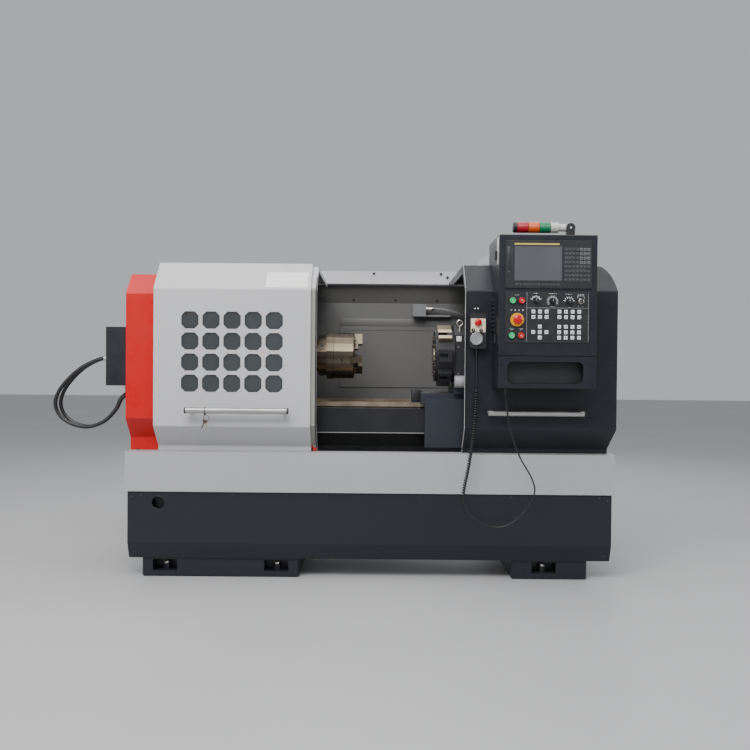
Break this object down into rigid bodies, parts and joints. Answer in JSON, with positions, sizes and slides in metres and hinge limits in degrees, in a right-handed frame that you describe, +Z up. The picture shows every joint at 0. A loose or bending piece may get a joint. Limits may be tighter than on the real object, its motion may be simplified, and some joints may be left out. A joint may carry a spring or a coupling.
{
  "type": "cnc turning lathe",
  "caption": "Flat-bed CNC turning lathe with hydraulic chuck, tool turret, tailstock, sliding enclosure doors, swing-out control panel, hand pendant and folding signal lamp.",
  "frame": {"origin": "middle of the footprint, on the floor, measured without the hoses and the pendant's cord", "axes": "+X along the spindle from headstock to tailstock, +Y to the back, +Z up"},
  "size_m": [2.8556, 1.6, 1.7005],
  "materials": {
    "left_pedestal": "satin paint",
    "right_pedestal": "satin paint",
    "chip_tray": "satin paint",
    "front_skirt": "satin paint",
    "bed": "ground ways",
    "headstock": "painted casting",
    "main_motor": "satin paint",
    "drive_belt": "matte",
    "cylinder_guard": "satin paint",
    "clamp_hose": "matte",
    "release_hose": "matte",
    "left_end_cover": "satin paint",
    "rear_splash_guard": "satin paint",
    "top_beam": "satin paint",
    "work_light": "satin paint",
    "electrical_cabinet": "satin paint",
    "spindle": "ground",
    "chuck_body": "ground",
    "spindle_pulley": "ground ways",
    "chuck_cylinder": "satin",
    "chuck_jaw_1": "ground",
    "chuck_jaw_2": "ground",
    "chuck_jaw_3": "ground",
    "motor_pulley": "ground ways",
    "feed_screw": "ground",
    "left_door_shell": "satin paint",
    "left_door_window": "clear",
    "left_door_handle": "satin",
    "right_door_shell": "satin paint",
    "right_door_handle": "satin",
    "control_cabinet": "satin paint",
    "pendant_body": "matte",
    "pendant_lead": "matte",
    "pendant_curl": "matte",
    "pendant_cable": "matte",
    "lamp_bracket": "matte",
    "saddle": "painted casting",
    "cross_slide": "ground",
    "turret_housing": "satin paint",
    "turret_disc": "ground",
    "tailstock_body": "painted casting",
    "tailstock_quill": "ground",
    "live_center": "ground",
    "cabinet_door": "satin paint",
    "control_panel_door": "satin paint",
    "display_unit": "matte",
    "operator_panel": "matte",
    "estop_button": "gloss",
    "power_on_button": "gloss",
    "power_off_button": "gloss",
    "cycle_start_button": "gloss",
    "feed_hold_button": "gloss",
    "spindle_override_dial": "matte",
    "feed_override_dial": "matte",
    "mode_dial": "matte",
    "key_switch": "ground",
    "pendant_stop": "gloss",
    "pendant_wheel": "satin",
    "lamp_base": "matte",
    "lamp_lenses": "translucent"
  },
  "bodies": {
    "frame": {"left_pedestal": "left_pedestal", "right_pedestal": "right_pedestal", "chip_tray": "chip_tray", "front_skirt": "front_skirt", "bed": "bed", "headstock": "headstock", "main_motor": "main_motor", "drive_belt": "drive_belt", "cylinder_guard": "cylinder_guard", "clamp_hose": "clamp_hose", "release_hose": "release_hose", "left_end_cover": "left_end_cover", "rear_splash_guard": "rear_splash_guard", "top_beam": "top_beam", "work_light": "work_light", "electrical_cabinet": "electrical_cabinet"},
    "spindle_line": {"spindle": "spindle", "chuck_body": "chuck_body", "spindle_pulley": "spindle_pulley", "chuck_cylinder": "chuck_cylinder"},
    "jaw_1": {"chuck_jaw_1": "chuck_jaw_1"},
    "jaw_2": {"chuck_jaw_2": "chuck_jaw_2"},
    "jaw_3": {"chuck_jaw_3": "chuck_jaw_3"},
    "motor_shaft": {"motor_pulley": "motor_pulley"},
    "carriage_screw": {"feed_screw": "feed_screw"},
    "left_door": {"left_door_shell": "left_door_shell", "left_door_window": "left_door_window", "left_door_handle": "left_door_handle"},
    "right_door": {"right_door_shell": "right_door_shell", "right_door_handle": "right_door_handle", "control_cabinet": "control_cabinet", "pendant_body": "pendant_body", "pendant_lead": "pendant_lead", "pendant_curl": "pendant_curl", "pendant_cable": "pendant_cable", "lamp_bracket": "lamp_bracket"},
    "carriage": {"saddle": "saddle"},
    "turret_slide": {"cross_slide": "cross_slide", "turret_housing": "turret_housing"},
    "turret": {"turret_disc": "turret_disc"},
    "tailstock": {"tailstock_body": "tailstock_body"},
    "quill": {"tailstock_quill": "tailstock_quill"},
    "center": {"live_center": "live_center"},
    "rear_door": {"cabinet_door": "cabinet_door"},
    "panel_door": {"control_panel_door": "control_panel_door", "display_unit": "display_unit", "operator_panel": "operator_panel"},
    "lamp": {"lamp_base": "lamp_base", "lamp_lenses": "lamp_lenses"},
    "pendant_stop": {"pendant_stop": "pendant_stop"},
    "pendant_wheel": {"pendant_wheel": "pendant_wheel"},
    "estop_button": {"estop_button": "estop_button"},
    "power_on_button": {"power_on_button": "power_on_button"},
    "power_off_button": {"power_off_button": "power_off_button"},
    "cycle_start_button": {"cycle_start_button": "cycle_start_button"},
    "feed_hold_button": {"feed_hold_button": "feed_hold_button"},
    "spindle_override_dial": {"spindle_override_dial": "spindle_override_dial"},
    "feed_override_dial": {"feed_override_dial": "feed_override_dial"},
    "mode_dial": {"mode_dial": "mode_dial"},
    "key_switch": {"key_switch": "key_switch"}
  },
  "joints": [
    {"name": "left_door_slide", "type": "slide", "parent": "frame", "child": "left_door", "axis": [1, 0, 0], "range_m": [0, 0.7]},
    {"name": "right_door_slide", "type": "slide", "parent": "frame", "child": "right_door", "axis": [1, 0, 0], "range_m": [-0.65, 0]},
    {"name": "spindle_turn", "type": "hinge", "parent": "frame", "child": "spindle_line", "pos_m": [-0.1784, -0.07, 1.083], "axis": [1, 0, 0], "continuous": true},
    {"name": "jaw_1_slide", "type": "slide", "parent": "spindle_line", "child": "jaw_1", "axis": [0, 0.309, 0.9511], "range_m": [-0.003, 0.005]},
    {"name": "jaw_2_slide", "type": "slide", "parent": "spindle_line", "child": "jaw_2", "axis": [0, -0.9781, -0.2079], "range_m": [-0.003, 0.005]},
    {"name": "jaw_3_slide", "type": "slide", "parent": "spindle_line", "child": "jaw_3", "axis": [0, 0.6691, -0.7431], "range_m": [-0.003, 0.005]},
    {"name": "motor_turn", "type": "hinge", "parent": "frame", "child": "motor_shaft", "pos_m": [-1.038, 0.27, 0.75], "axis": [1, 0, 0], "continuous": true},
    {"name": "feed_screw_turn", "type": "hinge", "parent": "frame", "child": "carriage_screw", "pos_m": [-0.174, -0.312, 0.752], "axis": [1, 0, 0], "range_deg": [-11900, 1820]},
    {"name": "carriage_travel", "type": "slide", "parent": "frame", "child": "carriage", "axis": [1, 0, 0], "range_m": [-0.3301, 0.0501]},
    {"name": "cross_travel", "type": "slide", "parent": "carriage", "child": "turret_slide", "axis": [0, 1, 0], "range_m": [-0.02, 0.2]},
    {"name": "turret_index", "type": "hinge", "parent": "turret_slide", "child": "turret", "pos_m": [0.5104, -0.33, 1.083], "axis": [1, 0, 0], "continuous": true},
    {"name": "tailstock_travel", "type": "slide", "parent": "frame", "child": "tailstock", "axis": [1, 0, 0], "range_m": [-0.1, 0.03]},
    {"name": "quill_travel", "type": "slide", "parent": "tailstock", "child": "quill", "axis": [1, 0, 0], "range_m": [-0.12, 0]},
    {"name": "center_turn", "type": "hinge", "parent": "quill", "child": "center", "pos_m": [0.8737, -0.07, 1.083], "axis": [1, 0, 0], "continuous": true},
    {"name": "cabinet_door_hinge", "type": "hinge", "parent": "frame", "child": "rear_door", "pos_m": [0.331, 0.7703, 0.5], "axis": [0, 0, -1], "range_deg": [0, 110]},
    {"name": "panel_door_hinge", "type": "hinge", "parent": "right_door", "child": "panel_door", "pos_m": [0.6725, -0.697, 1.082], "axis": [0, 0, -1], "range_deg": [0, 110]},
    {"name": "power_on_press", "type": "slide", "parent": "panel_door", "child": "power_on_button", "axis": [0, 1, 0], "range_m": [0, 0.004], "stiffness_N_per_m": 600, "springref_m": -0.002},
    {"name": "power_off_press", "type": "slide", "parent": "panel_door", "child": "power_off_button", "axis": [0, 1, 0], "range_m": [0, 0.004], "stiffness_N_per_m": 600, "springref_m": -0.002},
    {"name": "cycle_start_press", "type": "slide", "parent": "panel_door", "child": "cycle_start_button", "axis": [0, 1, 0], "range_m": [0, 0.004], "stiffness_N_per_m": 600, "springref_m": -0.002},
    {"name": "feed_hold_press", "type": "slide", "parent": "panel_door", "child": "feed_hold_button", "axis": [0, 1, 0], "range_m": [0, 0.004], "stiffness_N_per_m": 600, "springref_m": -0.002},
    {"name": "estop_press", "type": "slide", "parent": "panel_door", "child": "estop_button", "axis": [0, 1, 0], "range_m": [0, 0.006], "stiffness_N_per_m": 900, "springref_m": -0.003},
    {"name": "spindle_override_turn", "type": "hinge", "parent": "panel_door", "child": "spindle_override_dial", "pos_m": [0.844, -0.7689, 1.331], "axis": [0, 1, 0], "range_deg": [-120, 120]},
    {"name": "feed_override_turn", "type": "hinge", "parent": "panel_door", "child": "feed_override_dial", "pos_m": [0.919, -0.7689, 1.33], "axis": [0, 1, 0], "range_deg": [-150, 150]},
    {"name": "mode_turn", "type": "hinge", "parent": "panel_door", "child": "mode_dial", "pos_m": [0.993, -0.7689, 1.328], "axis": [0, 1, 0], "range_deg": [-90, 90]},
    {"name": "key_turn", "type": "hinge", "parent": "panel_door", "child": "key_switch", "pos_m": [1.046, -0.7689, 1.33], "axis": [0, 1, 0], "range_deg": [0, 90]},
    {"name": "pendant_stop_press", "type": "slide", "parent": "right_door", "child": "pendant_stop", "axis": [0, 1, 0], "range_m": [0, 0.004], "stiffness_N_per_m": 600, "springref_m": -0.002},
    {"name": "pendant_wheel_turn", "type": "hinge", "parent": "right_door", "child": "pendant_wheel", "pos_m": [0.596, -0.6189, 1.163], "axis": [0, 1, 0], "continuous": true},
    {"name": "lamp_fold", "type": "hinge", "parent": "right_door", "child": "lamp", "pos_m": [1.017, -0.67, 1.676], "axis": [0, 1, 0], "range_deg": [0, 90]}
  ],
  "couplings": [
    {"joint": "jaw_2_slide", "follows": "jaw_1_slide", "ratio": 1},
    {"joint": "jaw_3_slide", "follows": "jaw_1_slide", "ratio": 1},
    {"joint": "motor_turn", "follows": "spindle_turn", "ratio": 1.6},
    {"joint": "feed_screw_turn", "follows": "carriage_travel", "rad_per_m": 628.32}
  ]
}
